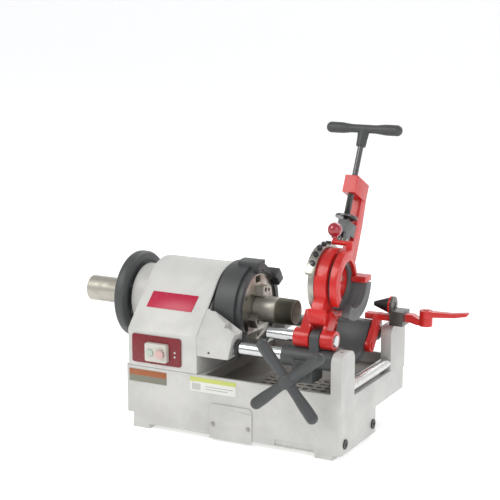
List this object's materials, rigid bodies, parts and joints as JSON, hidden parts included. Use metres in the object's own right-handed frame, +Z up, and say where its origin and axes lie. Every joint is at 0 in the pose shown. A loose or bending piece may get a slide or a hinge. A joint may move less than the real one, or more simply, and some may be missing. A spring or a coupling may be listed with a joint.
{
  "type": "bench pipe threading machine",
  "caption": "Bench pipe threading machine: hammer chuck with a clamped pipe, and a hand-fed carriage with a swinging die head, pipe cutter and reamer over an oil pan.",
  "frame": {"origin": "on the bench plane under the base's pads, below the spindle axis, at the middle of the base's length", "axes": "+X along the spindle from the rear chuck to the carriage, +Y away from the operator, +Z up"},
  "size_m": [0.915, 0.5581, 0.6725],
  "materials": {
    "grey_paint": "light grey painted casting",
    "cover_paint": "light grey painted cover",
    "dark_paint": "dark grey painted casting",
    "red_paint": "gloss red painted casting",
    "knob_red": "moulded knob",
    "ground_steel": "ground",
    "bare_steel": "plain",
    "chuck_steel": "turned",
    "jaw_steel": "hardened",
    "gear_steel": "machined",
    "black_steel": "blacked",
    "motor_steel": "painted",
    "pipe_steel": "mill finish with a cut thread",
    "cast_grey": "grey casting",
    "bronze": "turned bronze",
    "brass_pipe": "drawn",
    "black_rubber": "moulded",
    "black_plastic": "moulded",
    "badge_red": "blank red plate",
    "dark_red_plate": "dark red plate",
    "pale_plastic": "moulded",
    "data_plate": "blank two colour plate",
    "label_white": "blank label",
    "green_plastic": "button",
    "red_plastic": "button"
  },
  "bodies": {
    "base": {"base_casting": "grey_paint", "chip_tray": "bare_steel", "tank_cover": "grey_paint", "cover_screws": "bare_steel", "end_plugs": "black_plastic", "front_bar": "ground_steel", "rear_bar": "ground_steel", "bar_collars": "black_rubber", "bar_screws": "black_steel", "carry_tube": "ground_steel", "headstock_frame": "grey_paint", "headstock_cover": "cover_paint", "rear_cover": "cover_paint", "badge_plate": "badge_red", "switch_plate": "dark_red_plate", "switch_box": "pale_plastic", "data_plate": "data_plate", "label_plate": "label_white", "motor": "motor_steel", "oil_pump": "cast_grey", "oil_pipe": "brass_pipe", "spindle_bearings": "bronze"},
    "start": {"start_button": "green_plastic"},
    "stop": {"stop_button": "red_plastic"},
    "motor_rotor": {"motor_pinion": "gear_steel"},
    "countershaft": {"countershaft": "gear_steel"},
    "spindle": {"spindle": "gear_steel", "chuck_body": "chuck_steel"},
    "hammer": {"hammer_wheel": "dark_paint"},
    "jaw_1": {"jaw_1": "jaw_steel"},
    "jaw_2": {"jaw_2": "jaw_steel"},
    "jaw_3": {"jaw_3": "jaw_steel"},
    "rear_ring": {"rear_wheel": "dark_paint"},
    "rear_jaw_1": {"rear_jaw_1": "jaw_steel"},
    "rear_jaw_2": {"rear_jaw_2": "jaw_steel"},
    "rear_jaw_3": {"rear_jaw_3": "jaw_steel"},
    "pipe": {"workpiece_pipe": "pipe_steel"},
    "carriage": {"carriage": "dark_paint", "head_pivot": "ground_steel"},
    "feed_handle": {"rack_pinion": "gear_steel", "cross_handle": "dark_paint"},
    "die_head": {"head_body": "red_paint", "size_ring": "chuck_steel", "size_bolts": "black_steel"},
    "cam": {"cam_plate": "cast_grey", "head_lever": "red_paint", "head_knob": "knob_red"},
    "chaser_1": {"chaser_1": "jaw_steel"},
    "chaser_2": {"chaser_2": "jaw_steel"},
    "chaser_3": {"chaser_3": "jaw_steel"},
    "chaser_4": {"chaser_4": "jaw_steel"},
    "cutter": {"cutter_frame": "red_paint"},
    "cutter_slide": {"cutter_slide": "cast_grey"},
    "cutter_wheel": {"cutter_wheel": "jaw_steel"},
    "roller_1": {"roller_1": "ground_steel"},
    "roller_2": {"roller_2": "ground_steel"},
    "feed_screw": {"feed_screw": "dark_paint"},
    "reamer": {"reamer_arm": "red_paint", "reamer_cone": "black_steel"},
    "reamer_handle": {"reamer_handle": "red_paint"}
  },
  "joints": [
    {"name": "spindle_spin", "type": "hinge", "parent": "base", "child": "spindle", "pos_m": [-0.16, 0, 0.27], "axis": [1, 0, 0], "continuous": true},
    {"name": "counter_spin", "type": "hinge", "parent": "base", "child": "countershaft", "pos_m": [-0.18, 0.04, 0.17292], "axis": [1, 0, 0], "continuous": true},
    {"name": "motor_spin", "type": "hinge", "parent": "base", "child": "motor_rotor", "pos_m": [-0.19, 0.062, 0.10752], "axis": [1, 0, 0], "continuous": true},
    {"name": "hammer_turn", "type": "hinge", "parent": "spindle", "child": "hammer", "pos_m": [-0.045, 0, 0.27], "axis": [1, 0, 0], "range_deg": [0, 30]},
    {"name": "jaw_1_slide", "type": "slide", "parent": "spindle", "child": "jaw_1", "axis": [0, 0, 1], "range_m": [0, 0.008]},
    {"name": "jaw_2_slide", "type": "slide", "parent": "spindle", "child": "jaw_2", "axis": [0, -0.866, -0.5], "range_m": [0, 0.008]},
    {"name": "jaw_3_slide", "type": "slide", "parent": "spindle", "child": "jaw_3", "axis": [0, 0.866, -0.5], "range_m": [0, 0.008]},
    {"name": "rear_ring_turn", "type": "hinge", "parent": "spindle", "child": "rear_ring", "pos_m": [-0.33, 0, 0.27], "axis": [1, 0, 0], "range_deg": [0, 60]},
    {"name": "rear_jaw_1_slide", "type": "slide", "parent": "spindle", "child": "rear_jaw_1", "axis": [0, 0.866, 0.5], "range_m": [0, 0.006]},
    {"name": "rear_jaw_2_slide", "type": "slide", "parent": "spindle", "child": "rear_jaw_2", "axis": [0, -0.866, 0.5], "range_m": [0, 0.006]},
    {"name": "rear_jaw_3_slide", "type": "slide", "parent": "spindle", "child": "rear_jaw_3", "axis": [0, 0, -1], "range_m": [0, 0.006]},
    {"name": "pipe_slide", "type": "slide", "parent": "spindle", "child": "pipe", "axis": [1, 0, 0], "range_m": [-0.4, 0]},
    {"name": "start_press", "type": "slide", "parent": "base", "child": "start", "axis": [0, 1, 0], "range_m": [0, 0.003], "stiffness_N_per_m": 250},
    {"name": "stop_press", "type": "slide", "parent": "base", "child": "stop", "axis": [0, 1, 0], "range_m": [0, 0.003], "stiffness_N_per_m": 250},
    {"name": "carriage_feed", "type": "slide", "parent": "base", "child": "carriage", "axis": [1, 0, 0], "range_m": [-0.098, 0]},
    {"name": "handle_turn", "type": "hinge", "parent": "carriage", "child": "feed_handle", "pos_m": [0.176, -0.2, 0.186], "axis": [0, 1, 0], "range_deg": [0, 402]},
    {"name": "head_swing", "type": "hinge", "parent": "carriage", "child": "die_head", "pos_m": [0.195, -0.135, 0.256], "axis": [1, 0, 0], "range_deg": [-48.5, 0]},
    {"name": "cam_turn", "type": "hinge", "parent": "die_head", "child": "cam", "pos_m": [0.225, -0.05603, 0.36639], "axis": [1, 0, 0], "range_deg": [-25, 0]},
    {"name": "chaser_1_slide", "type": "slide", "parent": "die_head", "child": "chaser_1", "axis": [0, -0.061, 0.9981], "range_m": [-0.0032, 0]},
    {"name": "chaser_2_slide", "type": "slide", "parent": "die_head", "child": "chaser_2", "axis": [0, -0.9981, -0.061], "range_m": [-0.0032, 0]},
    {"name": "chaser_3_slide", "type": "slide", "parent": "die_head", "child": "chaser_3", "axis": [0, 0.061, -0.9981], "range_m": [-0.0032, 0]},
    {"name": "chaser_4_slide", "type": "slide", "parent": "die_head", "child": "chaser_4", "axis": [0, 0.9981, 0.061], "range_m": [-0.0032, 0]},
    {"name": "cutter_swing", "type": "hinge", "parent": "carriage", "child": "cutter", "pos_m": [0.118, 0.142, 0.213], "axis": [1, 0, 0], "range_deg": [0, 68.8]},
    {"name": "cutter_feed", "type": "slide", "parent": "cutter", "child": "cutter_slide", "axis": [0, -0.4462, -0.8949], "range_m": [0, 0.024]},
    {"name": "screw_turn", "type": "hinge", "parent": "cutter_slide", "child": "feed_screw", "pos_m": [0.118, 0.19734, 0.4734], "axis": [0, -0.4462, -0.8949], "range_deg": [0, 2880]},
    {"name": "wheel_spin", "type": "hinge", "parent": "cutter_slide", "child": "cutter_wheel", "pos_m": [0.118, 0.16699, 0.41254], "axis": [1, 0, 0], "continuous": true},
    {"name": "roller_1_spin", "type": "hinge", "parent": "cutter", "child": "roller_1", "pos_m": [0.118, 0.10894, 0.34092], "axis": [1, 0, 0], "continuous": true},
    {"name": "roller_2_spin", "type": "hinge", "parent": "cutter", "child": "roller_2", "pos_m": [0.118, 0.14474, 0.32307], "axis": [1, 0, 0], "continuous": true},
    {"name": "reamer_swing", "type": "hinge", "parent": "carriage", "child": "reamer", "pos_m": [0.234, 0.068, 0.196], "axis": [1, 0, 0], "range_deg": [0, 73.8]},
    {"name": "reamer_lever_fold", "type": "hinge", "parent": "reamer", "child": "reamer_handle", "pos_m": [0.348, 0.12, 0.27], "axis": [0, 0, 1], "range_deg": [-80, 0]}
  ],
  "couplings": [
    {"joint": "counter_spin", "follows": "spindle_spin", "ratio": -4},
    {"joint": "motor_spin", "follows": "spindle_spin", "ratio": 14.4},
    {"joint": "jaw_1_slide", "follows": "hammer_turn", "m_per_rad": 0.015264},
    {"joint": "jaw_2_slide", "follows": "hammer_turn", "m_per_rad": 0.015264},
    {"joint": "jaw_3_slide", "follows": "hammer_turn", "m_per_rad": 0.015264},
    {"joint": "rear_jaw_1_slide", "follows": "rear_ring_turn", "m_per_rad": 0.005724},
    {"joint": "rear_jaw_2_slide", "follows": "rear_ring_turn", "m_per_rad": 0.005724},
    {"joint": "rear_jaw_3_slide", "follows": "rear_ring_turn", "m_per_rad": 0.005724},
    {"joint": "chaser_1_slide", "follows": "cam_turn", "m_per_rad": 0.007327},
    {"joint": "chaser_2_slide", "follows": "cam_turn", "m_per_rad": 0.007327},
    {"joint": "chaser_3_slide", "follows": "cam_turn", "m_per_rad": 0.007327},
    {"joint": "chaser_4_slide", "follows": "cam_turn", "m_per_rad": 0.007327},
    {"joint": "handle_turn", "follows": "carriage_feed", "rad_per_m": -71.429},
    {"joint": "cutter_feed", "follows": "screw_turn", "m_per_rad": 0.00047742}
  ]
}
